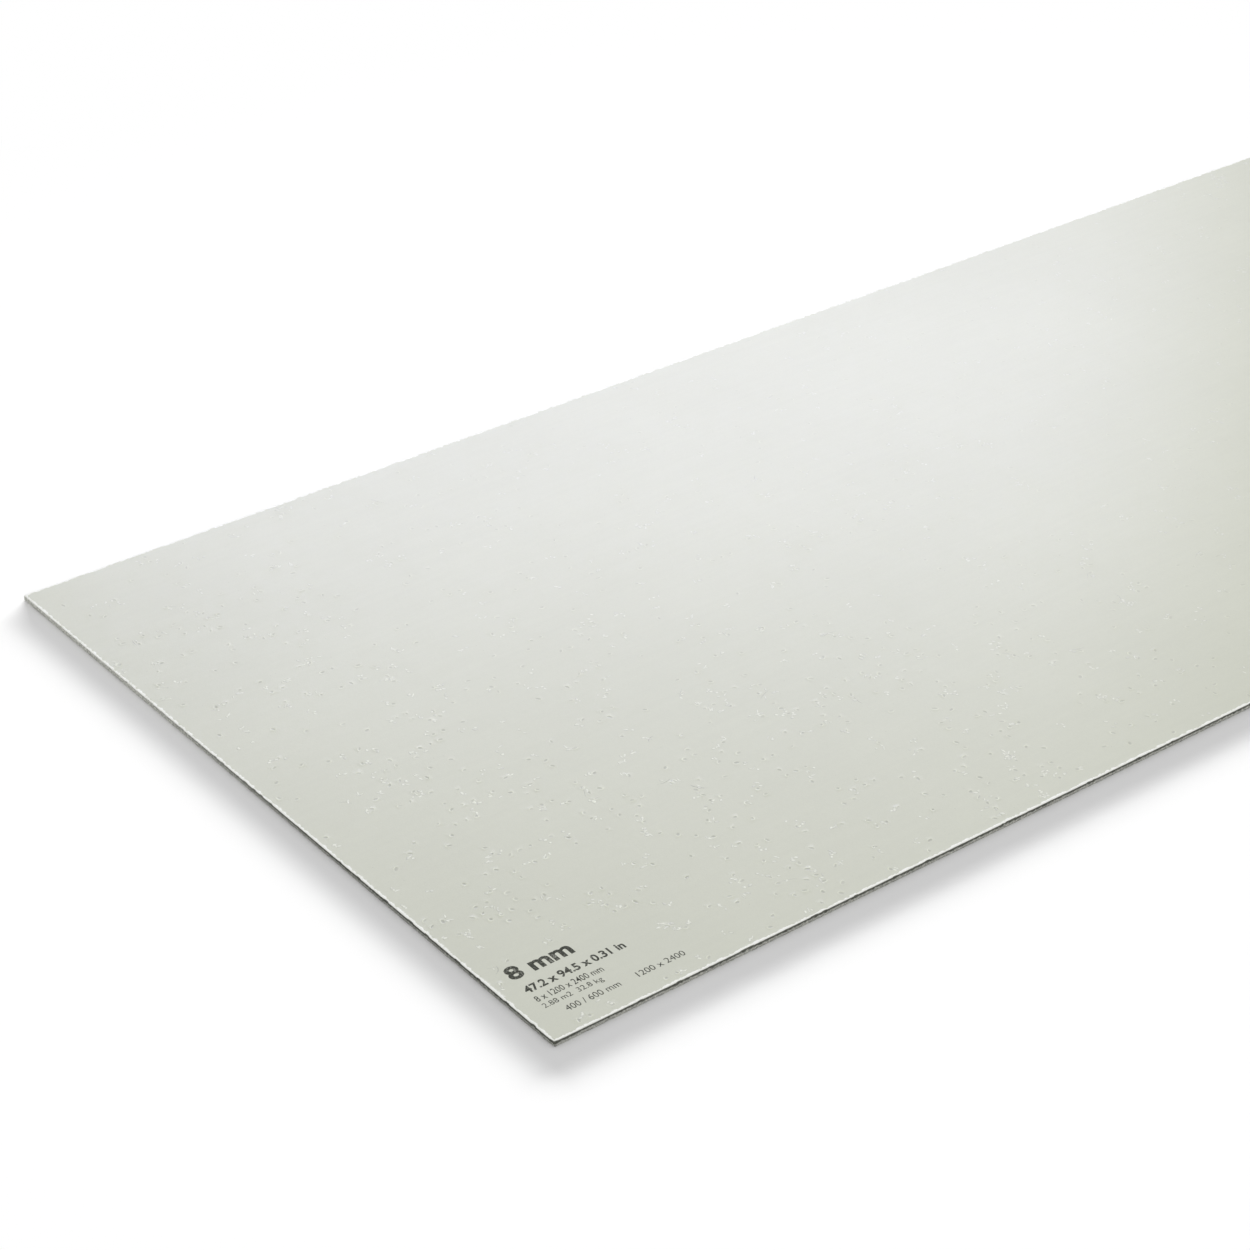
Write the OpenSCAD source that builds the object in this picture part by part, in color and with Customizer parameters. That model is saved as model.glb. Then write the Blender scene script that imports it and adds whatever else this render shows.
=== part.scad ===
// Fibre cement board: a flat building sheet of cement, silica and cellulose fibre,
// pressed and autoclaved in one piece and trimmed square on all four sides.
// It lies flat. The origin is at the centre of its underside, the length runs along X,
// the width along Y, and the smooth face looks up along Z.

/* [Sheet] */
// Length of the board, along X
board_length = 2400; // [600:10:3600]
// Width of the board, along Y
board_width = 1200; // [300:10:1500]
// Thickness of the board, along Z
board_thickness = 8; // [3.5:0.5:25]

/* [Trimmed edges] */
// Radius that eases the arris between each face and the cut edges
arris_radius = 0.8; // [0.2:0.1:1.5]
// Radius in plan of the four corners, a little worn by handling
corner_radius = 2; // [1.8:0.2:12]

/* [Hidden] */
$fn = 48;

// The rim's straight stretches run between the centres of the corner arcs.
straight_length = board_length - 2 * corner_radius;
straight_width = board_width - 2 * corner_radius;

// Section through the rim, from a corner arc's centre at x = 0 out to the cut edge:
// a flat cut face with an eased arris at the top and at the bottom.
module rim_section() {
    square([corner_radius - arris_radius, board_thickness]);
    translate([0, arris_radius])
        square([corner_radius, board_thickness - 2 * arris_radius]);
    for (z = [arris_radius, board_thickness - arris_radius])
        translate([corner_radius - arris_radius, z])
            circle(r = arris_radius);
}

// Rim along the long edge at +Y.
module long_rim() {
    translate([0, straight_width / 2, 0])
        rotate([90, 0, 90])
            linear_extrude(straight_length, center = true) rim_section();
}

// Rim along the short edge at +X.
module short_rim() {
    translate([straight_length / 2, 0, 0])
        rotate([90, 0, 0])
            linear_extrude(straight_width, center = true) rim_section();
}

// The same section turned round the corner at +X and +Y.
module corner_rim() {
    translate([straight_length / 2, straight_width / 2, 0])
        rotate_extrude(angle = 90) rim_section();
}

// Every shape in its place and mirrored across the board's centre line, along one axis.
module both_sides(axis) {
    children();
    mirror(axis) children();
}

// The whole board: the slab between the corner arcs, and the rim all round it.
module board() {
    color("#cfd1c6") {
        translate([-straight_length / 2, -straight_width / 2, 0])
            cube([straight_length, straight_width, board_thickness]);
        both_sides([0, 1, 0]) long_rim();
        both_sides([1, 0, 0]) short_rim();
        both_sides([1, 0, 0]) both_sides([0, 1, 0]) corner_rim();
    }
}

board();
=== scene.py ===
"""Looks of a fibre cement board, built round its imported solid.

The board is one flat sheet, pressed, autoclaved and trimmed square. Its smooth face is strewn with low
nibs and pits of hard cement, its cut edges show the thin plies of the pressed mat, and one corner carries
a printed size mark. It lies face up on a pale studio floor. All sizes are in metres.
"""

import logging
import math
import random
from dataclasses import dataclass
from enum import Enum
from typing import Iterable, Sequence

import bmesh
import bpy
from mathutils import Matrix, Vector, noise


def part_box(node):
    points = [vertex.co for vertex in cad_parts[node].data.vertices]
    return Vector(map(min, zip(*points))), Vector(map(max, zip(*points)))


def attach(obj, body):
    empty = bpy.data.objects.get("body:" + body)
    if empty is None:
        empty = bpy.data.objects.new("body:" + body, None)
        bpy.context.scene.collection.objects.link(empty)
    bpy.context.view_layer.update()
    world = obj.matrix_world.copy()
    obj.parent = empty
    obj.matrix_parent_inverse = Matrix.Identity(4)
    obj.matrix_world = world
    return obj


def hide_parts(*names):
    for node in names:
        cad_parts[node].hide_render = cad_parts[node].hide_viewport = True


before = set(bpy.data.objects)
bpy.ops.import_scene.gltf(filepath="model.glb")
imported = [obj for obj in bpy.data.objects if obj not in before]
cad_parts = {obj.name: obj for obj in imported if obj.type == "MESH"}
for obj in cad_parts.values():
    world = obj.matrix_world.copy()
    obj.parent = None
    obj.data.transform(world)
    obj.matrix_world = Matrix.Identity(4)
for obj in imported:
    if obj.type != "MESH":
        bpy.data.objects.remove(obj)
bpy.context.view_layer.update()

LOG = logging.getLogger("board")
MM = 0.001
BODY = "root"
NODE = "board"
SHADE_BY_HEIGHT = "tone"

Colour = tuple[float, float, float]
Socket = bpy.types.NodeSocket
BMesh, BMFace, BMEdge = bmesh.types.BMesh, bmesh.types.BMFace, bmesh.types.BMEdge
Layer = bmesh.types.BMLayerItem


class Zone(Enum):
    """Parts of the board's surface, each with its own finish, in the order of the material slots."""

    FACE = 0
    EDGE = 1
    BACK = 2


class Grain(Enum):
    """Kinds of hard grain that stand up from the smooth face."""

    NIB = "a rounded lump of cement"
    FIBRE = "a short bent bundle of fibres"
    HAIR = "a long thin stray fibre"


# --- Finishes -----------------------------


class NodeBench:
    """A material's or world's node tree, with one short call for each kind of node."""

    def __init__(self, block: bpy.types.Material | bpy.types.World) -> None:
        """Clears a material or a world for a new tree.

        Args:
            block: The material or world.
        """
        self.block = block
        self.block.use_nodes = True
        self.tree = self.block.node_tree
        self.tree.nodes.clear()
        self.place = self.add("ShaderNodeTexCoord").outputs["Object"]

    def add(self, kind: str, **settings: object) -> bpy.types.Node:
        """Adds a node.

        Args:
            kind: The node's type.
            **settings: The node's own properties.

        Returns:
            The new node.
        """
        node = self.tree.nodes.new(kind)
        for key, value in settings.items():
            setattr(node, key, value)
        return node

    def put(self, socket: Socket, value: object) -> None:
        """Links a socket to another one, or sets it to a plain value.

        Args:
            socket: The input.
            value: An output socket, a number or a colour.
        """
        if isinstance(value, Socket):
            self.tree.links.new(value, socket)
        elif isinstance(value, tuple) and len(value) == 3 and socket.type == "RGBA":
            socket.default_value = (*value, 1.0)
        else:
            socket.default_value = value

    def axes(self, place: Socket) -> bpy.types.bpy_prop_collection:
        """Splits coordinates.

        Args:
            place: The coordinates.

        Returns:
            Sockets named X, Y and Z.
        """
        node = self.add("ShaderNodeSeparateXYZ")
        self.put(node.inputs[0], place)
        return node.outputs

    def cloud(
        self, grain: float, detail: float = 2.0, roughness: float = 0.5, stretch: Colour = (1.0, 1.0, 1.0)
    ) -> Socket:
        """Soft noise.

        Args:
            grain: Size of its coarsest spots.
            detail: Number of finer octaves.
            roughness: How much the finer octaves count.
            stretch: Factors along X, Y and Z on the pattern's coordinates.

        Returns:
            A value round 0.5.
        """
        mapping = self.add("ShaderNodeMapping")
        self.put(mapping.inputs["Vector"], self.place)
        mapping.inputs["Scale"].default_value = stretch
        node = self.add("ShaderNodeTexNoise")
        self.put(node.inputs["Vector"], mapping.outputs["Vector"])
        node.inputs["Scale"].default_value = 1.0 / grain
        node.inputs["Detail"].default_value = detail
        node.inputs["Roughness"].default_value = roughness
        return node.outputs["Fac"]

    def cells(self, spacing: float) -> bpy.types.Node:
        """Scattered points.

        Args:
            spacing: Mean distance between the points.

        Returns:
            A Voronoi node, whose Distance is in spacings and whose Color is random for each point.
        """
        node = self.add("ShaderNodeTexVoronoi")
        self.put(node.inputs["Vector"], self.place)
        node.inputs["Scale"].default_value = 1.0 / spacing
        return node

    def span(
        self, value: object, low: float, high: float, to_low: float = 0.0, to_high: float = 1.0
    ) -> Socket:
        """Maps a range of a value smoothly onto another range.

        Args:
            value: The value.
            low: Where the range starts.
            high: Where the range ends.
            to_low: Result at and below low.
            to_high: Result at and above high.

        Returns:
            The mapped value.
        """
        node = self.add("ShaderNodeMapRange", interpolation_type="SMOOTHSTEP")
        for socket, number in zip(node.inputs, (value, low, high, to_low, to_high)):
            self.put(socket, number)
        return node.outputs["Result"]

    def sum(self, operation: str, first: object, second: object) -> Socket:
        """A sum of two values.

        Args:
            operation: ADD, MULTIPLY, MAXIMUM or another of the Math node's.
            first: The first value.
            second: The second value.

        Returns:
            The result.
        """
        node = self.add("ShaderNodeMath", operation=operation)
        self.put(node.inputs[0], first)
        self.put(node.inputs[1], second)
        return node.outputs[0]

    def blend(self, share: object, first: object, second: object) -> Socket:
        """A mix of two colours.

        Args:
            share: How much of the second colour, from 0 to 1.
            first: The first colour.
            second: The second colour.

        Returns:
            The mixed colour.
        """
        node = self.add("ShaderNodeMix", data_type="RGBA")
        sockets = {s.identifier: s for s in node.inputs}
        self.put(sockets["Factor_Float"], share)
        self.put(sockets["A_Color"], first)
        self.put(sockets["B_Color"], second)
        return next(s for s in node.outputs if s.identifier == "Result_Color")

    def shade(self, colour: object, factor: object) -> Socket:
        """A colour made darker or lighter.

        Args:
            colour: The colour.
            factor: What it is multiplied by.

        Returns:
            The product.
        """
        node = self.add("ShaderNodeVectorMath", operation="SCALE")
        self.put(node.inputs[0], colour)
        self.put(node.inputs["Scale"], factor)
        return node.outputs["Vector"]

    def bump(self, height: object, depth: float, strength: float, under: object = None) -> Socket:
        """A bumped normal.

        Args:
            height: The height, from 0 to 1.
            depth: Depth that a height of 1 stands for.
            strength: How much of the bump shows.
            under: A normal that this one is laid over.

        Returns:
            The normal.
        """
        node = self.add("ShaderNodeBump")
        node.inputs["Strength"].default_value = strength
        node.inputs["Distance"].default_value = depth
        self.put(node.inputs["Height"], height)
        if under is not None:
            self.put(node.inputs["Normal"], under)
        return node.outputs["Normal"]

    def surface(self, colour: object, roughness: object, normal: object, gloss: float = 0.5) -> None:
        """Closes the tree with one Principled surface.

        Args:
            colour: The base colour.
            roughness: The roughness.
            normal: The normal.
            gloss: The specular level.
        """
        shader = self.add("ShaderNodeBsdfPrincipled")
        self.put(shader.inputs["Base Color"], colour)
        self.put(shader.inputs["Roughness"], roughness)
        self.put(shader.inputs["Normal"], normal)
        shader.inputs["Specular IOR Level"].default_value = gloss
        self.output(shader.outputs["BSDF"])

    def rays(self, *kinds: str) -> Socket:
        """Tells rays of some kinds from all the others.

        Args:
            *kinds: Camera, Glossy, Transmission or another of the Light Path node's.

        Returns:
            1 for rays of these kinds, and 0 for the others.
        """
        path = self.add("ShaderNodeLightPath").outputs
        found = path[f"Is {kinds[0]} Ray"]
        for kind in kinds[1:]:
            found = self.sum("MAXIMUM", found, path[f"Is {kind} Ray"])
        return found

    def output(self, shader: Socket, kind: str = "ShaderNodeOutputMaterial") -> None:
        """Links a shader to the tree's output."""
        self.put(self.add(kind).inputs["Surface"], shader)


class Finish:
    """A material, built anew from a few values of its own."""

    NAME = "finish"

    def material(self) -> bpy.types.Material:
        """Builds the material.

        Returns:
            The finished material.
        """
        bench = NodeBench(bpy.data.materials.new(self.NAME))
        self.lay_out(bench)
        return bench.block

    def lay_out(self, bench: NodeBench) -> None:
        """Lays out the material's nodes.

        Args:
            bench: The tree that they are built in.
        """
        raise NotImplementedError


@dataclass(frozen=True)
class SmoothFaceFinish(Finish):
    """The pressed face: pale greenish grey cement, faintly clouded, with grains, painted highlight on raised
    points, painted shade in pits and pinholes, and a margin whitened as a painted highlight.
    """

    NAME = "smooth_face"
    half_length: float
    half_width: float
    colour: Colour = (0.560, 0.576, 0.471)
    arris_highlight_colour: Colour = (0.90, 0.91, 0.86)
    fleck_colour: Colour = (0.42, 0.42, 0.34)
    pit_shade_to_grain_highlight: tuple[float, float] = (0.65, 1.33)
    margin: float = 4.8 * MM
    roughness: float = 0.36

    def tint(self, bench: NodeBench) -> Socket:
        """The face's colour, without the painted highlight along its margin.

        Args:
            bench: The tree that it is built in.

        Returns:
            The colour.
        """
        tone = bench.span(bench.cloud(0.42, 2.0), 0.3, 0.7, 0.988, 1.012)
        for value, spread in (
            (bench.cloud(34 * MM, 3.0, 0.6), 0.005),
            (bench.cloud(3 * MM, 2.0, 0.6), 0.010),
            (bench.cloud(0.9 * MM, 2.0, 0.7), 0.018),
            (bench.cloud(0.2, 2.0, 0.5, (1.0, 22.0, 1.0)), 0.008),
        ):
            tone = bench.sum("MULTIPLY", tone, bench.span(value, 0.25, 0.75, 1 - spread, 1 + spread))
        # Painted light and shade by height: points that stand out are lightened as painted highlight, and
        # pits are darkened as painted shade.
        raised = bench.add("ShaderNodeAttribute", attribute_name=SHADE_BY_HEIGHT).outputs["Fac"]
        tone = bench.sum("MULTIPLY", tone, bench.span(raised, -1.0, 1.0, *self.pit_shade_to_grain_highlight))
        colour = bench.shade(self.colour, tone)
        # Painted shade in the pinholes, which are not cut into the face.
        colour = bench.shade(colour, bench.span(self.pinholes(bench), 0.0, 1.0, 1.0, 0.60))
        flecks = bench.span(bench.cells(30 * MM).outputs["Distance"], 0.02, 0.05, 0.3, 0.0)
        return bench.blend(flecks, colour, self.fleck_colour)

    @staticmethod
    def pinholes(bench: NodeBench) -> Socket:
        """Where air bubbles broke open under the press.

        Args:
            bench: The tree that it is built in.

        Returns:
            1 in a pinhole and 0 round it.
        """
        bubbles = bench.cells(8 * MM)
        size = bench.add("ShaderNodeSeparateColor")
        bench.put(size.inputs[0], bubbles.outputs["Color"])
        reach = bench.span(size.outputs[0], 0.6, 1.0, 0.0, 0.06)
        return bench.span(bench.sum("SUBTRACT", reach, bubbles.outputs["Distance"]), 0.0, 0.02)

    def lay_out(self, bench: NodeBench) -> None:
        """Lays out the material's nodes."""
        axes = bench.axes(bench.place)
        along = bench.sum("SUBTRACT", self.half_length, bench.sum("ABSOLUTE", axes["X"], 0.0))
        across = bench.sum("SUBTRACT", self.half_width, bench.sum("ABSOLUTE", axes["Y"], 0.0))
        inward = bench.sum("MINIMUM", along, across)
        ragged = bench.span(bench.cloud(9 * MM, 3.0, 0.7), 0.25, 0.75, 0.45, 1.3)
        reach = bench.sum("MULTIPLY", ragged, self.margin)
        share = bench.sum("DIVIDE", inward, reach)
        # Painted highlight: a ragged strip of the face along the arris is whitened.
        arris_highlight = bench.span(share, 0.55, 1.0, 0.9, 0.0)
        colour = bench.blend(arris_highlight, self.tint(bench), self.arris_highlight_colour)
        rough = bench.span(bench.cloud(22 * MM, 3.0), 0.3, 0.7, self.roughness - 0.01, self.roughness + 0.01)
        felt = bench.bump(bench.cloud(9 * MM, 2.0, 0.5), 0.05 * MM, 0.8)
        grit = bench.bump(bench.cloud(1.8 * MM, 2.0, 0.6), 0.07 * MM, 0.7, felt)
        bench.surface(colour, rough, grit)


@dataclass(frozen=True)
class GrainFinish(Finish):
    """Hard grains of the same cement, a little whiter than the face round them, with painted highlight on
    their crowns and painted shade at their feet.
    """

    NAME = "raised_grain"
    colour: Colour = (0.564, 0.577, 0.498)
    rougher: float = 0.10

    def lay_out(self, bench: NodeBench) -> None:
        """Lays out the material's nodes."""
        face = SmoothFaceFinish(1.0, 1.0, self.colour)
        crumbs = bench.cloud(2.2 * MM, 3.0, 0.7)
        colour = bench.shade(face.tint(bench), bench.span(crumbs, 0.3, 0.7, 0.90, 1.08))
        grit = bench.bump(crumbs, 0.08 * MM, 0.7)
        bench.surface(colour, face.roughness + self.rougher, grit)


@dataclass(frozen=True)
class CutEdgeFinish(Finish):
    """The trimmed edge: thin plies of the pressed mat, paler below, with a painted shade band under the
    upper arris and a painted highlight on the arris.

    Along the short ends the painted shade band fades out away from the printed side, and the whole end is
    painted darker near that side and paler away from it.
    """

    NAME = "cut_edge"
    thickness: float
    half_length: float
    colour: Colour = (0.58, 0.585, 0.525)
    shade_under_arris: Colour = (0.09, 0.095, 0.075)
    pale_ply: Colour = (0.72, 0.73, 0.67)
    highlight_on_arris: Colour = (0.74, 0.75, 0.69)
    painted_shade_fade: tuple[float, float] = (-0.30, 0.50)

    def lay_out(self, bench: NodeBench) -> None:
        """Lays out the material's nodes."""
        axes = bench.axes(bench.place)
        waver = bench.span(bench.cloud(25 * MM, 3.0, 0.6), 0.2, 0.8, -0.5 * MM, 0.5 * MM)
        ragged = bench.span(bench.cloud(5 * MM, 2.0, 0.6), 0.2, 0.8, -1.1 * MM, 1.1 * MM)
        level = bench.sum("ADD", axes["Z"], bench.sum("ADD", waver, ragged))
        height = bench.sum("DIVIDE", level, self.thickness)
        plies = bench.cloud(30 * MM, 3.0, 0.6, (1.0, 1.0, 26.0))
        colour = bench.blend(bench.span(plies, 0.35, 0.7), self.colour, self.pale_ply)
        joints = bench.cloud(45 * MM, 2.0, 0.5, (1.0, 1.0, 60.0))
        colour = bench.shade(colour, bench.span(joints, 0.56, 0.66, 1.0, 0.72))
        from_middle = bench.sum("ABSOLUTE", axes["X"], 0.0)
        on_end = bench.span(from_middle, self.half_length - 5 * MM, self.half_length - 3 * MM)
        # Painted shade along the short ends: darker near the printed side and paler away from it, with the
        # dark band fading out.
        dust_and_shade = bench.span(axes["Y"], *self.painted_shade_fade)
        tone = bench.span(on_end, 0.0, 1.0, 1.0, bench.span(dust_and_shade, 0.0, 1.0, 0.70, 1.15))
        share = bench.span(on_end, 0.0, 1.0, 0.9, bench.span(dust_and_shade, 0.0, 1.0, 0.93, 0.0))
        colour = bench.shade(colour, tone)
        # Painted shade: a dark band under the upper arris.
        dark = bench.sum("MULTIPLY", bench.span(height, 0.44, 0.64), share)
        colour = bench.blend(dark, colour, self.shade_under_arris)
        # Painted highlight: a pale line along the upper arris.
        wear_and_highlight = bench.span(height, 0.92, 1.0)
        colour = bench.blend(bench.sum("MULTIPLY", wear_and_highlight, 0.85), colour, self.highlight_on_arris)
        crumbs = bench.cloud(4 * MM, 3.0, 0.7, (1.0, 1.0, 1.6))
        colour = bench.shade(colour, bench.span(crumbs, 0.30, 0.72, 0.66, 1.40))
        voids = bench.cloud(2.4 * MM, 1.0, 0.5, (1.0, 1.0, 2.4))
        # Painted shade in the voids, which the bump below hollows out.
        colour = bench.shade(colour, bench.span(voids, 0.68, 0.74, 1.0, 0.45))
        scratches = bench.cloud(20 * MM, 3.0, 0.6, (12.0, 12.0, 1.0))
        colour = bench.shade(colour, bench.span(scratches, 0.25, 0.75, 0.92, 1.08))
        ridges = bench.bump(plies, 0.25 * MM, 0.9)
        hollows = bench.bump(bench.span(voids, 0.64, 0.74, 1.0, 0.0), 0.25 * MM, 0.9, ridges)
        fibres = bench.bump(bench.cloud(1.5 * MM, 3.0, 0.7), 0.15 * MM, 0.8, hollows)
        bench.surface(colour, 0.85, fibres, 0.3)


@dataclass(frozen=True)
class FeltBackFinish(Finish):
    """The underside: the same cement, rougher, with the imprint of the press felt."""

    NAME = "felt_back"
    colour: Colour = (0.53, 0.54, 0.48)

    def lay_out(self, bench: NodeBench) -> None:
        """Lays out the material's nodes."""
        stains = bench.span(bench.cloud(0.35, 3.0), 0.3, 0.7, 0.96, 1.04)
        dust_and_shade = bench.span(bench.cloud(12 * MM, 3.0, 0.6), 0.25, 0.75, 0.95, 1.05)
        colour = bench.shade(self.colour, bench.sum("MULTIPLY", stains, dust_and_shade))
        weft = bench.cloud(18 * MM, 2.0, 0.5, (1.0, 6.0, 1.0))
        warp = bench.cloud(18 * MM, 2.0, 0.5, (6.0, 1.0, 1.0))
        weave = bench.sum("MAXIMUM", weft, warp)
        colour = bench.shade(colour, bench.span(weave, 0.46, 0.66, 0.95, 1.05))
        felt = bench.bump(weave, 0.6 * MM, 0.9)
        grit = bench.bump(bench.cloud(1.6 * MM, 2.0, 0.6), 0.12 * MM, 0.8, felt)
        bench.surface(colour, 0.82, grit, 0.35)


@dataclass(frozen=True)
class InkFinish(Finish):
    """Printing ink soaked into the face: dark olive grey, rubbed off in spots."""

    NAME = "stamp_ink"
    colour: Colour = (0.030, 0.033, 0.022)
    bare: Colour = (0.50, 0.51, 0.44)
    cover: float = 0.97

    def lay_out(self, bench: NodeBench) -> None:
        """Lays out the material's nodes."""
        gaps = bench.span(bench.cloud(2.2 * MM, 3.0, 0.7), 0.36, 0.50, 1.0, 0.0)
        wear_and_highlight = bench.span(bench.cloud(30 * MM, 2.0), 0.3, 0.7, 0.1, 0.6)
        share = bench.sum("MULTIPLY", gaps, wear_and_highlight)
        colour = bench.blend(bench.sum("MAXIMUM", share, 1.0 - self.cover), self.colour, self.bare)
        grain = bench.bump(bench.cloud(1.6 * MM, 2.0, 0.6), 0.04 * MM, 0.6)
        bench.surface(colour, 0.75, grain, 0.25)


@dataclass(frozen=True)
class StudioFloorFinish(Finish):
    """The white floor, which keeps soft shadows near the board and runs out to plain white."""

    NAME = "studio_floor"
    near: float = 1.45
    far: float = 2.1
    bounce: float = 0.75

    def lay_out(self, bench: NodeBench) -> None:
        """Lays out the material's nodes."""
        seen = bench.rays("Camera", "Glossy", "Transmission")
        colour = bench.blend(seen, (self.bounce,) * 3, (1.0, 1.0, 1.0))
        diffuse = bench.add("ShaderNodeBsdfDiffuse")
        bench.put(diffuse.inputs["Color"], colour)
        glow = bench.add("ShaderNodeEmission")
        distance = bench.add("ShaderNodeVectorMath", operation="LENGTH")
        bench.put(distance.inputs[0], bench.place)
        away = bench.span(distance.outputs["Value"], self.near, self.far)
        mix = bench.add("ShaderNodeMixShader")
        bench.put(mix.inputs[0], bench.sum("MULTIPLY", away, seen))
        bench.put(mix.inputs[1], diffuse.outputs[0])
        bench.put(mix.inputs[2], glow.outputs[0])
        bench.output(mix.outputs[0])


# --- The board ----------------------------


@dataclass(frozen=True)
class PressedRelief:
    """How strongly the pressed grain stands out: fully at the stamped corner, and less away from it."""

    corner: Vector
    reach: float = 1.8
    least: float = 0.36

    def at(self, place: Vector) -> float:
        """Reads the strength at one place.

        Args:
            place: A place on the face.

        Returns:
            From least to 1.
        """
        away = sum((place - self.corner).xy) / self.reach
        return 1.0 - (1.0 - self.least) * min(1.0, away) ** 1.5


@dataclass(frozen=True)
class Patch:
    """A level rectangle of the face."""

    low: Vector
    high: Vector

    def holds(self, place: Vector) -> bool:
        """Whether a place lies in the patch, seen from above."""
        return self.low.x < place.x < self.high.x and self.low.y < place.y < self.high.y


@dataclass(frozen=True)
class Ring:
    """One ring of a pit, from the level seat inwards: how far in it lies, and its share of lip and depth."""

    shrink: float
    lift: float
    sink: float


@dataclass(frozen=True)
class Pit:
    """A shallow hollow with an uneven oval outline and a lip thrown up along one side."""

    centre: Vector
    length: float
    width: float
    turn: float
    depth: float
    lip: float
    lip_side: float
    reach: tuple[float, ...]

    RINGS = (Ring(-0.38, 0.0, 0.0), Ring(-0.16, 1.0, 0.0), Ring(0.06, 0.25, 0.40), Ring(0.24, 0.0, 0.90))

    def lay(self, face: BMFace, ring: Ring, tone: Layer, full: float) -> None:
        """Moves a face's corners onto one ring of the pit, and notes how far each stands out.

        Args:
            face: The face, whose corners run round the pit's centre.
            ring: The ring.
            tone: Layer that holds how far each point stands out, from -1 to 1; the face's finish paints it
                as light and shade.
            full: Height that counts as 1.
        """
        points = list(face.verts)
        middle = face.calc_center_median()
        first = max(range(len(points)), key=lambda index: sum((points[index].co - middle).xy))
        turn = Matrix.Rotation(self.turn, 3, "Z")
        shrink = ring.shrink * min(self.length, self.width)
        for step in range(len(points)):
            angle = math.tau * (0.125 + step / len(points))
            x = math.cos(angle) * (self.length / 2 * self.reach[step] - shrink)
            y = math.sin(angle) * (self.width / 2 * self.reach[step] - shrink)
            lobe = max(0.0, 0.35 + math.cos(angle - self.lip_side)) / 1.35
            rise = ring.lift * self.lip * lobe - ring.sink * self.depth
            point = points[(first + step) % len(points)]
            point.co = self.centre + turn @ Vector((x, y, 0.0)) + Vector((0.0, 0.0, rise))
            point[tone] = rise / full


@dataclass(frozen=True)
class EdgeWear:
    """Saw marks and chips along the cut edges, deepest at the arrises."""

    spacing: float = 6 * MM
    wide_spacing: float = 14 * MM
    saw_depth: float = 0.25 * MM
    chip_depth: float = 1.0 * MM
    amid: float = 0.15
    off_the_face: float = 0.4

    def saw(self, place: Vector) -> float:
        """How deep the saw marks are at a place."""
        return abs(noise.noise(place / self.spacing)) * self.saw_depth

    def chip(self, place: Vector) -> float:
        """How deep a chip is at a place, if there is one."""
        wide = noise.noise(place / self.wide_spacing + Vector((7.0, 3.0, 1.0))) - 0.30
        short = noise.noise(place / self.spacing + Vector((2.0, 9.0, 4.0))) - 0.26
        return min(max(0.0, 4.0 * wide, 2.6 * short), 1.0) * self.chip_depth


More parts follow.
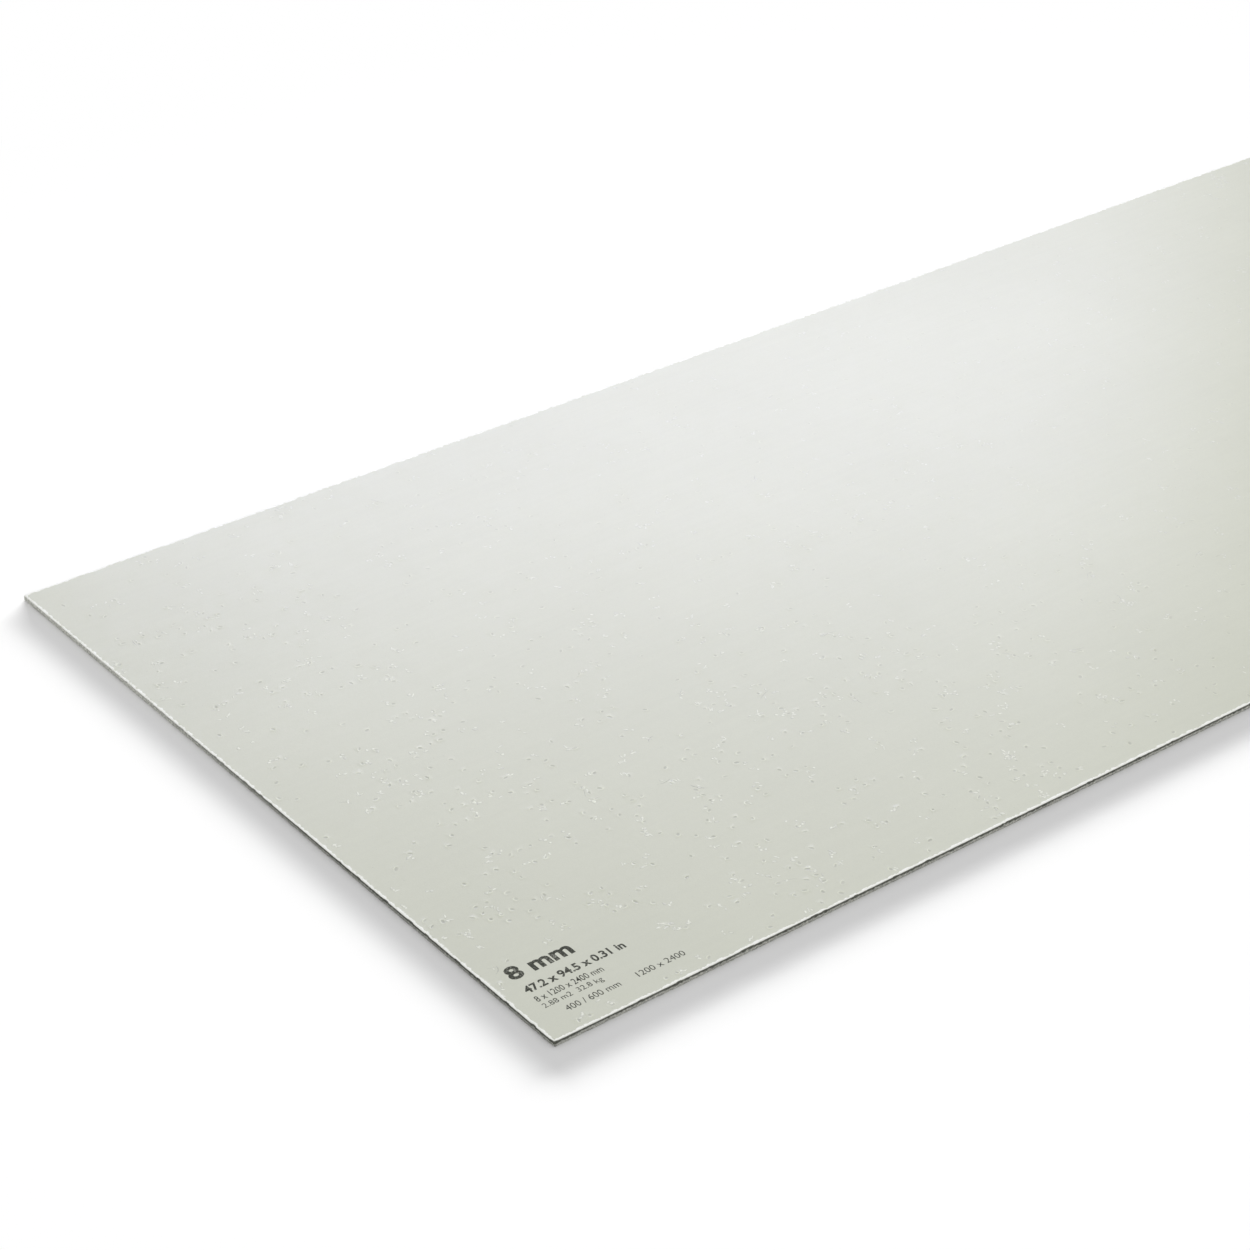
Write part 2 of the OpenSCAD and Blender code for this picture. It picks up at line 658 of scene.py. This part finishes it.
@dataclass
class BoardSheet:
    """The whole board as one closed skin: pressed face, eased arrises, cut edges and back."""

    low: Vector
    high: Vector
    relief: float
    plain: Patch
    arris_radius: float = 0.8 * MM
    corner_radius: float = 2.0 * MM
    cell: float = 30 * MM
    margin: float = 6 * MM
    frame_inset: float = 5 * MM
    shake: float = 1.0 * MM
    cluster: float = 110 * MM
    stations_in_cell: int = 9
    corner_cuts: int = 4
    arris_steps: int = 2
    edge_steps: int = 3
    pitted_share: float = 0.155
    deepest: float = 0.26 * MM
    highest: float = 0.28 * MM
    full_tone: float = 0.34 * MM
    wear: EdgeWear = EdgeWear()
    seed: int = 21

    def __post_init__(self) -> None:
        """Works out the middle, the half sizes and the face's level from the box."""
        self.dice = random.Random(self.seed)
        self.centre = (self.low + self.high) / 2
        self.half = (self.high - self.low) / 2
        self.inner = (self.half.x - self.margin, self.half.y - self.margin)
        self.level = self.half.z - self.relief
        self.pressed = PressedRelief(-self.half)
        self.hollows: list[Vector] = []

    def build(self) -> bpy.types.Object:
        """Models the board and gives each zone its finish.

        Returns:
            The board.
        """
        bm = bmesh.new()
        station = bm.verts.layers.float_vector.new("station")
        self._lay_grid(bm)
        self._frame_grid(bm, station)
        self._draw_rim(bm, station)
        bm.verts.layers.float_vector.remove(station)
        self._close_underneath(bm)
        self._sink_face(bm)
        self._refine_face(bm)
        self._sink_pits(bm)
        self._wear_edges(bm)
        self._zone(bm)
        bmesh.ops.translate(bm, vec=self.centre, verts=bm.verts)
        face = SmoothFaceFinish(self.half.x, self.half.y)
        edge = CutEdgeFinish(2 * self.half.z, self.half.x)
        return piece_from(bm, "board_sheet", face, edge, FeltBackFinish())

    def _lay_grid(self, bm: BMesh) -> None:
        """Lays the face's grid, up to the plain margin."""
        counts = [round(2 * size / self.cell) for size in self.inner]
        bmesh.ops.create_grid(bm, x_segments=counts[0], y_segments=counts[1], size=1.0)
        bmesh.ops.scale(bm, vec=(*self.inner, 1.0), verts=bm.verts)
        bmesh.ops.translate(bm, vec=(0.0, 0.0, self.half.z), verts=bm.verts)

    def _frame_grid(self, bm: BMesh, station: Layer) -> None:
        """Frames the grid with a narrow strip, whose outer border has close stations."""
        for vert in bm.verts:
            vert[station] = vert.co
        border = [edge for edge in bm.edges if edge.is_boundary]
        border = self._draw_out(bm, station, border, self.frame_inset, self.half.z)
        bmesh.ops.subdivide_edges(bm, edges=border, cuts=self.stations_in_cell - 1)
        reach = 1.1 * self.cell / self.stations_in_cell
        corner = Vector((*self.inner, 0.0))
        near = {vert for vert in bm.verts if (self._folded(vert[station]) - corner).length < reach}
        turned = [edge for edge in bm.edges if edge.is_boundary and near.issuperset(edge.verts)]
        bmesh.ops.subdivide_edges(bm, edges=turned, cuts=self.corner_cuts)

    @staticmethod
    def _folded(place: Vector) -> Vector:
        """A place in plan, folded into the quarter where X and Y are positive."""
        return Vector((abs(place[0]), abs(place[1]), 0.0))

    def _on_outline(self, station: Vector, inset: float, height: float) -> Vector:
        """Where a station of the border goes on the board's outline.

        Args:
            station: The border's own place, on the face's grid.
            inset: Distance inwards from the outline.
            height: Height over the middle plane.

        Returns:
            The place.
        """
        x = station[0] * (self.half.x - inset) / self.inner[0]
        y = station[1] * (self.half.y - inset) / self.inner[1]
        over_x = abs(x) - (self.half.x - self.corner_radius)
        over_y = abs(y) - (self.half.y - self.corner_radius)
        if over_x > 0 and over_y > 0:
            scale = (self.corner_radius - inset) / math.hypot(over_x, over_y)
            x = math.copysign(self.half.x - self.corner_radius + over_x * scale, x)
            y = math.copysign(self.half.y - self.corner_radius + over_y * scale, y)
        return Vector((x, y, height))

    def _section(self) -> Iterable[tuple[float, float]]:
        """The rim's section from the plain margin to the middle plane.

        Yields:
            The inset from the outline and the height over the middle plane.
        """
        top, radius = self.half.z, self.arris_radius
        yield 4 * radius, top
        for step in range(self.arris_steps + 1):
            turn = math.radians(90) * step / self.arris_steps
            yield radius * (1 - math.sin(turn)), top - radius * (1 - math.cos(turn))
        for step in range(1, self.edge_steps + 1):
            yield 0.0, (top - radius) * (1 - step / self.edge_steps)

    def _draw_out(
        self, bm: BMesh, station: Layer, loop: list[BMEdge], inset: float, height: float
    ) -> list[BMEdge]:
        """Draws the border out by one row.

        Args:
            bm: The board.
            station: Layer that holds each border point's station.
            loop: The border's edges.
            inset: How far inside the outline the new row lies.
            height: Its height over the middle plane.

        Returns:
            The new border's edges.
        """
        made = bmesh.ops.extrude_edge_only(bm, edges=loop)["geom"]
        for vert in (item for item in made if isinstance(item, bmesh.types.BMVert)):
            vert.co = self._on_outline(vert[station], inset, height)
        return [item for item in made if isinstance(item, BMEdge) and item.is_boundary]

    def _draw_rim(self, bm: BMesh, station: Layer) -> None:
        """Draws the border out to the outline, round the arris and down to the middle plane."""
        loop = [edge for edge in bm.edges if edge.is_boundary]
        for inset, height in self._section():
            loop = self._draw_out(bm, station, loop, inset, height)

    @staticmethod
    def _close_underneath(bm: BMesh) -> None:
        """Mirrors the upper half under the middle plane and closes the skin."""
        upper = [*bm.verts, *bm.edges, *bm.faces]
        bmesh.ops.mirror(bm, geom=upper, matrix=Matrix.Identity(4), merge_dist=1e-7, axis="Z")
        bmesh.ops.remove_doubles(bm, verts=bm.verts, dist=1e-6)
        bmesh.ops.recalc_face_normals(bm, faces=bm.faces)

    def _sink_face(self, bm: BMesh) -> None:
        """Lowers the upper half a little, so that the tallest grain ends at the full thickness."""
        upper = [vert for vert in bm.verts if vert.co.z > 0]
        bmesh.ops.scale(bm, vec=(1.0, 1.0, self.level / self.half.z), verts=upper)

    def _cells(self, bm: BMesh) -> list[BMFace]:
        """The four-sided cells of the upper face's grid."""
        cells = []
        for face in bm.faces:
            middle = face.calc_center_median()
            inside = abs(middle.x) < self.inner[0] and abs(middle.y) < self.inner[1]
            if inside and middle.z > self.level - 0.01 * MM and len(face.verts) == 4:
                cells.append(face)
        return cells

    def _refine_face(self, bm: BMesh) -> None:
        """Splits the upper face's cells in four and shakes their corners."""
        edges = dict.fromkeys(edge for face in self._cells(bm) for edge in face.edges)
        bmesh.ops.subdivide_edges(bm, edges=list(edges), cuts=1, use_grid_fill=True)
        for vert in dict.fromkeys(vert for face in self._cells(bm) for vert in face.verts):
            if all(len(face.verts) == 4 for face in vert.link_faces):
                vert.co.x += self.dice.uniform(-self.shake, self.shake)
                vert.co.y += self.dice.uniform(-self.shake, self.shake)

    def _sink_pits(self, bm: BMesh) -> None:
        """Sinks shallow oval pits in some of the cells, in loose clusters."""
        tone = bm.verts.layers.float.new(SHADE_BY_HEIGHT)
        cells = self._cells(bm)
        chosen = [face for face in cells if self.dice.random() < self.pitted_share * self._crowd(face)]
        pits = [self._draw_pit(face) for face in chosen]
        for ring in Pit.RINGS:
            bmesh.ops.inset_individual(bm, faces=chosen, thickness=0.2 * MM)
            if ring is Pit.RINGS[0]:
                rims = [edge for face in chosen for edge in face.edges]
                bmesh.ops.subdivide_edges(bm, edges=rims, cuts=1)
            for face, pit in zip(chosen, pits):
                pit.lay(face, ring, tone, self.full_tone)
        for vert, pit in zip(bmesh.ops.poke(bm, faces=chosen)["verts"], pits):
            vert.co = pit.centre - Vector((0.0, 0.0, pit.depth))
            vert[tone] = -pit.depth / self.full_tone
        self.hollows = [self.centre + pit.centre for pit in pits]

    def _crowd(self, face: BMFace) -> float:
        """How crowded the pits are round a face: in loose clusters, and none under the print."""
        middle = face.calc_center_median()
        if self.plain.holds(self.centre + middle):
            return 0.0
        return 1.25 * self.pressed.at(middle) * (1.0 + 1.6 * noise.noise(middle / self.cluster))

    def _draw_pit(self, face: BMFace) -> Pit:
        """Draws the pit in one cell by lot.

        Args:
            face: The cell.

        Returns:
            The pit.
        """
        dice = self.dice
        middle = face.calc_center_median()
        strength = self.pressed.at(middle)
        sides = [dice.uniform(4.4, 8.0) * MM, dice.uniform(3.0, 4.8) * MM]
        dice.shuffle(sides)
        return Pit(
            centre=middle,
            length=sides[0],
            width=sides[1],
            turn=dice.uniform(-math.pi / 4, math.pi / 4),
            depth=strength**1.6 * self.deepest * dice.uniform(0.35, 1.0),
            lip=strength * self.highest * dice.uniform(0.45, 1.0),
            lip_side=dice.uniform(0.0, math.tau),
            reach=tuple(dice.uniform(0.85, 1.12) for _ in range(8)),
        )

    def _wear_edges(self, bm: BMesh) -> None:
        """Roughens the cut edges and chips the arrises, always inwards."""
        near = 1.2 * self.arris_radius
        for vert in bm.verts:
            inward = self.half - self._folded(vert.co)
            if min(inward.xy) > near:
                continue
            chip = self.wear.chip(vert.co)
            outer = abs(vert.co.z) / self.half.z
            depth = self.wear.saw(vert.co) + chip * (outer if outer > 0.7 else self.wear.amid)
            if inward.x < near:
                vert.co.x -= math.copysign(depth, vert.co.x)
            if inward.y < near:
                vert.co.y -= math.copysign(depth, vert.co.y)
            if outer > 0.85:
                vert.co.z -= math.copysign(self.wear.off_the_face * chip, vert.co.z)

    def _zone(self, bm: BMesh) -> None:
        """Sets each face's finish by where it lies, and smooths it."""
        for face in bm.faces:
            middle = face.calc_center_median()
            inward = self.half - self._folded(middle)
            if middle.z > self.level - 0.7 * self.arris_radius or min(inward.xy) > 1.5 * self.arris_radius:
                face.material_index = (Zone.FACE if middle.z > 0 else Zone.BACK).value
            else:
                face.material_index = Zone.EDGE.value
            face.smooth = True


# --- The raised grains --------------------


@dataclass(frozen=True)
class GrainKind:
    """Sizes and looks of one kind of grain. Each pair holds the least and the greatest."""

    grain: Grain
    share: float
    length: tuple[float, float]
    width: tuple[float, float]
    height: tuple[float, float]
    bend: float
    # How much the crown is lightened as painted highlight; below 0 the crown is darker, as the grain's own
    # colour.
    tone: float
    sides: int = 10

    FOOT, RIM, SHOULDER = -0.25, 0.60, 0.95
    # The foot's tone is painted shade where the mound meets the face.
    FOOT_SHADE = -0.7

    def mould(self, dice: random.Random) -> bpy.types.Mesh:
        """Models one low mound of unit size, rounded on top, uneven in plan and bent.

        Args:
            dice: Source of chance.

        Returns:
            The mound, from -1 to 1 in plan, with its foot sunk under 0 and its crown at 1.
        """
        bm = bmesh.new()
        tone = bm.verts.layers.float.new(SHADE_BY_HEIGHT)
        bmesh.ops.create_cone(bm, cap_ends=True, segments=self.sides, radius1=1.0, radius2=0.64, depth=1.0)
        foot, top = sorted(bm.faces, key=lambda face: face.calc_center_median().z)[:: len(bm.faces) - 1]
        for edge in foot.edges:
            edge.smooth = False
        bmesh.ops.inset_individual(bm, faces=[top], thickness=0.30)
        crown = bmesh.ops.poke(bm, faces=[top])["verts"][0]
        lean = dice.uniform(-self.bend, self.bend)
        tone_here = self.tone * dice.uniform(0.0, 1.1)
        reach = [dice.uniform(0.66, 1.2) for _ in range(self.sides)]
        for vert in bm.verts:
            side = round(math.atan2(vert.co.y, vert.co.x) / math.tau * self.sides) % self.sides
            out = vert.co.xy.length
            vert.co.xy *= reach[side]
            vert.co.y += lean * (vert.co.x**2 - 0.4)
            vert.co.z = self.FOOT if out > 0.9 else self.RIM if out > 0.5 else self.SHOULDER
            # Painted highlight on the crown and painted shade at the sunken foot; a negative tone darkens
            # the crown as the grain's own colour.
            vert[tone] = tone_here * vert.co.z**1.5 if vert.co.z > 0 else self.FOOT_SHADE
        crown.co.z = 1.0
        crown[tone] = tone_here
        for face in bm.faces:
            face.smooth = True
        mesh = bpy.data.meshes.new(self.grain.name.lower())
        bm.to_mesh(mesh)
        bm.free()
        return mesh

    def cast(
        self, mould: bpy.types.Mesh, place: Vector, strength: float, dice: random.Random
    ) -> bpy.types.Mesh:
        """Casts one grain from a mould.

        Args:
            mould: The mound of unit size.
            place: Where the grain lies on the face.
            strength: How strongly it stands out, up to 1.
            dice: Source of chance.

        Returns:
            The grain, in place.
        """
        size = (dice.uniform(*self.length) / 2, dice.uniform(*self.width) / 2)
        height = strength * (self.height[0] + (self.height[1] - self.height[0]) * dice.random() ** 2)
        turn = Matrix.Rotation(dice.uniform(0.0, math.pi), 4, "Z")
        grain = mould.copy()
        grain.transform(Matrix.Translation(place) @ turn @ Matrix.Diagonal((*size, height, 1.0)))
        for value in grain.attributes[SHADE_BY_HEIGHT].data:
            value.value *= strength
        return grain


GRAIN_KINDS = (
    GrainKind(
        Grain.NIB,
        share=0.66,
        length=(4.4 * MM, 8.8 * MM),
        width=(3.4 * MM, 6.0 * MM),
        height=(0.10 * MM, 0.30 * MM),
        bend=0.25,
        tone=1.0,
    ),
    GrainKind(
        Grain.FIBRE,
        share=0.32,
        length=(6.5 * MM, 13.0 * MM),
        width=(2.2 * MM, 3.6 * MM),
        height=(0.10 * MM, 0.26 * MM),
        bend=1.5,
        tone=0.9,
    ),
    GrainKind(
        Grain.HAIR,
        share=0.02,
        length=(16.0 * MM, 34.0 * MM),
        width=(0.8 * MM, 1.2 * MM),
        height=(0.08 * MM, 0.14 * MM),
        bend=9.0,
        tone=-1.1,
        sides=12,
    ),
)


@dataclass
class GrainField:
    """All the grains that stand up from the smooth face, as one piece of closed mounds."""

    low: Vector
    high: Vector
    level: float
    kinds: Sequence[GrainKind]
    plain: Patch
    hollows: Sequence[Vector]
    count: int = 2400
    clump: int = 3
    spread: float = 3.5 * MM
    beside: float = 8 * MM
    beside_share: float = 0.6
    cluster: float = 95 * MM
    moulds_each: int = 10
    margin: float = 5 * MM
    seed: int = 8

    def build(self) -> bpy.types.Object:
        """Strews the grains over the face, in loose clusters.

        Returns:
            The grains.
        """
        dice = random.Random(self.seed)
        pressed = PressedRelief(self.low)
        moulds = {kind: [kind.mould(dice) for _ in range(self.moulds_each)] for kind in self.kinds}
        shares = [kind.share for kind in self.kinds]
        bm = bmesh.new()
        for number in range(self.count):
            kind = dice.choices(self.kinds, shares)[0]
            if number % self.clump == 0:
                heart = self._heart(dice, pressed)
            stray = Vector((dice.gauss(0.0, self.spread), dice.gauss(0.0, self.spread), 0.0))
            place = self._kept_inside(heart + stray, kind)
            grain = kind.cast(dice.choice(moulds[kind]), place, pressed.at(place), dice)
            bm.from_mesh(grain)
            bpy.data.meshes.remove(grain)
        return piece_from(bm, "raised_grains", GrainFinish())

    def _heart(self, dice: random.Random, pressed: PressedRelief) -> Vector:
        """Draws the middle of a clump by lot: beside a pit, as thrown up from it, or anywhere."""
        if dice.random() > self.beside_share:
            return self._place(dice, pressed)
        turn = dice.uniform(0.0, math.tau)
        return dice.choice(self.hollows) + self.beside * Vector((math.cos(turn), math.sin(turn), 0.0))

    def _place(self, dice: random.Random, pressed: PressedRelief) -> Vector:
        """Draws a place on the face by lot, more often where grains crowd, and none under the print."""
        while True:
            x = dice.uniform(self.low.x + self.margin, self.high.x - self.margin)
            y = dice.uniform(self.low.y + self.margin, self.high.y - self.margin)
            place = Vector((x, y, self.level))
            if self.plain.holds(place):
                continue
            if dice.random() < 0.75 * pressed.at(place) * (1.0 + 1.5 * noise.noise(place / self.cluster)):
                return place

    def _kept_inside(self, place: Vector, kind: GrainKind) -> Vector:
        """Moves a place inwards as needed, so that a grain of a kind stays on the face."""
        reach = self.margin + kind.length[1] / 2
        x = min(max(place.x, self.low.x + reach), self.high.x - reach)
        y = min(max(place.y, self.low.y + reach), self.high.y - reach)
        return Vector((x, y, place.z))


# --- The printed size mark ----------------


@dataclass(frozen=True)
class InkLine:
    """One line of the size mark."""

    words: str
    left: float
    foot: float
    height: float
    width: float
    bold: float = 0.0


INK_LINES = (
    InkLine("8 mm", 27 * MM, 112.7 * MM, 25 * MM, 86 * MM, 0.032),
    InkLine("47.2 x 94.5 x 0.31 in", 27 * MM, 84.5 * MM, 13.5 * MM, 136 * MM, 0.03),
    InkLine("8 x 1200 x 2400 mm", 27 * MM, 66 * MM, 10.5 * MM, 91 * MM, 0.006),
    InkLine("2.88 m2  32.8 kg", 27 * MM, 50 * MM, 11 * MM, 80 * MM),
    InkLine("400 / 600 mm", 44 * MM, 33 * MM, 10 * MM, 73 * MM),
    InkLine("1200 x 2400", 141 * MM, 33 * MM, 9.5 * MM, 66 * MM),
)


@dataclass
class SizeStamp:
    """Plain size figures printed in ink near one corner of the face."""

    corner: Vector
    face_level: float
    lines: Sequence[InkLine]
    ink_depth: float = 0.05 * MM
    border: float = 5 * MM

    def patch(self) -> Patch:
        """The patch of the face that the print covers, with a narrow border."""
        left = min(line.left for line in self.lines) - self.border
        foot = min(line.foot for line in self.lines) - self.border
        right = max(line.left + line.width for line in self.lines) + self.border
        head = max(line.foot + line.height for line in self.lines) + self.border
        return Patch(self.corner + Vector((left, foot, 0.0)), self.corner + Vector((right, head, 0.0)))

    def build(self) -> bpy.types.Object:
        """Sets every line and joins them into one piece.

        Returns:
            The printed mark.
        """
        bm = bmesh.new()
        for line in self.lines:
            mesh = self._set_line(line)
            bm.from_mesh(mesh)
            bpy.data.meshes.remove(mesh)
        bmesh.ops.remove_doubles(bm, verts=bm.verts, dist=1e-6)
        bmesh.ops.recalc_face_normals(bm, faces=bm.faces)
        return piece_from(bm, "size_stamp", InkFinish())

    def _set_line(self, line: InkLine) -> bpy.types.Mesh:
        """Sets one line of text and fits it to its place.

        Args:
            line: The line.

        Returns:
            Its mesh, in place.
        """
        curve = bpy.data.curves.new("ink_line", "FONT")
        curve.body = line.words
        curve.extrude = 0.5
        curve.offset = line.bold
        curve.resolution_u = 3
        text = bpy.data.objects.new("ink_line", curve)
        bpy.context.scene.collection.objects.link(text)
        bpy.context.view_layer.update()
        mesh = bpy.data.meshes.new_from_object(text.evaluated_get(bpy.context.evaluated_depsgraph_get()))
        bpy.data.objects.remove(text)
        bpy.data.curves.remove(curve)
        axes = list(zip(*(vert.co for vert in mesh.vertices)))
        low = Vector(map(min, axes))
        size = Vector(map(max, axes)) - low
        fit = Vector((line.width / size.x, line.height / size.y, 2 * self.ink_depth / size.z))
        foot = self.corner + Vector((line.left, line.foot, 0.0))
        foot.z = self.face_level - self.ink_depth
        mesh.transform(Matrix.Translation(foot) @ Matrix.Diagonal((*fit, 1.0)) @ Matrix.Translation(-low))
        return mesh


# --- The studio ---------------------------


@dataclass(frozen=True)
class Lamp:
    """A lamp that faces the middle of the board. Its heading and rise are in degrees."""

    name: str
    heading: float
    rise: float
    distance: float = 5.0

    def light(self) -> bpy.types.Light:
        """Makes the lamp's own light.

        Returns:
            The light.
        """
        raise NotImplementedError

    def hang(self) -> bpy.types.Object:
        """Hangs the lamp.

        Returns:
            The lamp.
        """
        aim = aside(self.heading, self.rise)
        lamp = bpy.data.objects.new(self.name, self.light())
        lamp.location = self.distance * aim
        lamp.rotation_euler = (-aim).to_track_quat("-Z", "Y").to_euler()
        bpy.context.scene.collection.objects.link(lamp)
        return lamp


@dataclass(frozen=True)
class Softbox(Lamp):
    """A rectangular lamp."""

    width: float = 1.0
    height: float = 1.0
    radiance: float = 1.0
    tint: Colour = (1.0, 1.0, 1.0)

    def light(self) -> bpy.types.Light:
        """Makes the softbox's light."""
        light = bpy.data.lights.new(self.name, "AREA")
        light.shape = "RECTANGLE"
        light.size, light.size_y = self.width, self.height
        light.energy = self.radiance * math.pi * self.width * self.height
        light.color = self.tint
        return light


@dataclass(frozen=True)
class LowSun(Lamp):
    """A low, even light, one of a row that together draw the board's soft shadow on the floor."""

    softness: float = 5.0
    share: float = 1.0

    def light(self) -> bpy.types.Light:
        """Makes the sun's light."""
        light = bpy.data.lights.new(self.name, "SUN")
        light.energy = self.share * math.pi / math.sin(math.radians(self.rise))
        light.angle = math.radians(self.softness)
        return light


BOARD_LAMPS = (
    Softbox("overhead", 60.0, 78.0, 3.2, width=3.0, height=2.4, radiance=2.3),
    Softbox("behind", 61.5, 27.5, 4.5, width=3.4, height=0.6, radiance=10.2, tint=(0.76, 0.74, 1.0)),
)


def aside(heading: float, rise: float) -> Vector:
    """A direction.

    Args:
        heading: Degrees round from +X towards +Y.
        rise: Degrees over the horizon.

    Returns:
        The unit vector.
    """
    level = math.cos(math.radians(rise))
    turn = math.radians(heading)
    return Vector((level * math.cos(turn), level * math.sin(turn), math.sin(math.radians(rise))))


@dataclass
class Studio:
    """Floor, light and camera round the board."""

    corner: Vector
    pieces: Sequence[bpy.types.Object]
    lens: float = 89.86
    stand_off: Vector = Vector((-1.503, -2.153, 2.115))
    heading: float = 53.25
    dip: float = 31.28
    roll: float = -1.0
    ambient: tuple[float, float] = (0.36, 0.70)
    sun_headings: tuple[float, ...] = (32.0, 41.0, 50.0, 59.0, 68.0)
    sun_rise: float = 6.2
    sun_share: float = 0.41
    floor_reach: float = 40.0

    def build(self) -> None:
        """Sets up the whole studio."""
        bpy.context.scene.view_settings.view_transform = "Standard"
        self._set_camera()
        floor = self._lay_floor()
        self._light_world()
        share = self.sun_share / len(self.sun_headings)
        for number, heading in enumerate(self.sun_headings):
            sun = LowSun(f"low_sun_{number}", heading, self.sun_rise, share=share)
            self._flag(sun.hang(), [floor])
        for lamp in BOARD_LAMPS:
            self._flag(lamp.hang(), self.pieces)

    def _set_camera(self) -> None:
        """Puts the camera where it looks down across the printed corner."""
        data = bpy.data.cameras.new("camera")
        data.lens = self.lens
        data.sensor_width = 36.0
        data.clip_start, data.clip_end = 0.05, 200.0
        camera = bpy.data.objects.new("camera", data)
        ahead = aside(self.heading, -self.dip)
        level = ahead.cross(Vector((0.0, 0.0, 1.0))).normalized()
        right = Matrix.Rotation(math.radians(-self.roll), 3, ahead) @ level
        turn = Matrix((right, right.cross(ahead), -ahead)).transposed()
        camera.matrix_world = Matrix.Translation(self.corner + self.stand_off) @ turn.to_4x4()
        bpy.context.scene.collection.objects.link(camera)
        bpy.context.scene.camera = camera

    def _lay_floor(self) -> bpy.types.Object:
        """Lays the floor under the board.

        Returns:
            The floor.
        """
        bm = bmesh.new()
        bmesh.ops.create_grid(bm, x_segments=1, y_segments=1, size=self.floor_reach)
        floor = piece_from(bm, "floor", StudioFloorFinish())
        return floor

    def _light_world(self) -> None:
        """Lights the world softly, a little more from overhead, and shows it white."""
        bench = NodeBench(bpy.data.worlds.new("studio"))
        bpy.context.scene.world = bench.block
        axes = bench.axes(bench.add("ShaderNodeTexCoord").outputs["Generated"])
        seen = bench.rays("Camera", "Transmission")
        sky = bench.span(axes["Z"], 0.0, 1.0, *self.ambient)
        background = bench.add("ShaderNodeBackground")
        bench.put(background.inputs["Color"], (1.0, 1.0, 1.0))
        bench.put(background.inputs["Strength"], bench.span(seen, 0.0, 1.0, sky, 1.0))
        bench.output(background.outputs[0], "ShaderNodeOutputWorld")

    @staticmethod
    def _flag(lamp: bpy.types.Object, pieces: Sequence[bpy.types.Object]) -> None:
        """Flags a lamp off from everything but some pieces.

        Args:
            lamp: The lamp.
            pieces: What it lights.
        """
        lit = bpy.data.collections.new("lit_by_" + lamp.name)
        for piece in pieces:
            lit.objects.link(piece)
        lamp.light_linking.receiver_collection = lit


def piece_from(bm: BMesh, name: str, *finishes: Finish) -> bpy.types.Object:
    """Turns a finished mesh into an object at the origin.

    Args:
        bm: The mesh, which is freed.
        name: The object's name.
        *finishes: The finishes of its material slots, in order.

    Returns:
        The object.
    """
    mesh = bpy.data.meshes.new(name)
    bm.to_mesh(mesh)
    bm.free()
    for finish in finishes:
        mesh.materials.append(finish.material())
    piece = bpy.data.objects.new(name, mesh)
    bpy.context.scene.collection.objects.link(piece)
    return piece


def main() -> None:
    """Builds the board, its printed mark and the studio, in that order."""
    logging.basicConfig(level=logging.INFO, format="%(name)s: %(message)s")
    low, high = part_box(NODE)
    relief = max(kind.height[1] for kind in GRAIN_KINDS)
    face_level = high.z - relief
    corner = Vector((low.x, low.y, high.z))

    stamp = SizeStamp(corner, face_level, INK_LINES)
    sheet = BoardSheet(low, high, relief, stamp.patch())
    board = sheet.build()
    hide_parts(NODE)
    grains = GrainField(low, high, face_level, GRAIN_KINDS, stamp.patch(), sheet.hollows).build()
    pieces = (board, grains, stamp.build())
    for piece in pieces:
        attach(piece, BODY)
        LOG.info("%s: %d faces", piece.name, len(piece.data.polygons))

    Studio(corner, pieces).build()


if __name__ == "__main__":
    main()
